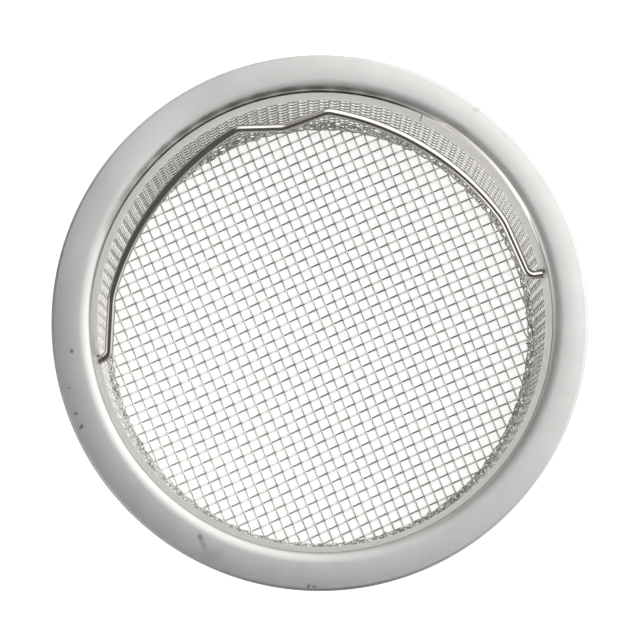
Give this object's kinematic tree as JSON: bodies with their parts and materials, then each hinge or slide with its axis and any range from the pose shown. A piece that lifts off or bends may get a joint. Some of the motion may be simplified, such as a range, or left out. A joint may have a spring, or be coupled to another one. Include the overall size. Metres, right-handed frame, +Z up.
{
  "type": "sink strainer",
  "caption": "Round steel sink strainer: a flat flange ring carries a deep woven wire cup, with a swinging wire bail for lifting it out of the drain.",
  "frame": {"origin": "bottom centre of the cup's floor, where the strainer stands", "axes": "+Z up out of the cup's mouth, +X along the bail's pivot line, +Y towards the side the bail leans to"},
  "size_m": [0.114, 0.114, 0.0613],
  "materials": {
    "satin_steel": "satin pressed stainless steel",
    "plain_steel": "plain mill finish stainless steel strip",
    "woven_wire": "drawn stainless steel wire, woven",
    "bright_wire": "bright drawn stainless steel wire"
  },
  "bodies": {
    "strainer": {"rim_flange": "satin_steel", "inner_band": "plain_steel", "mesh_wall": "woven_wire", "mesh_floor": "woven_wire"},
    "bail": {"bail_handle": "bright_wire"}
  },
  "joints": [
    {"name": "bail_pivot", "type": "hinge", "parent": "strainer", "child": "bail", "pos_m": [0, 0.0013, 0.0515], "axis": [1, 0, 0], "range_deg": [-102, 156]}
  ]
}
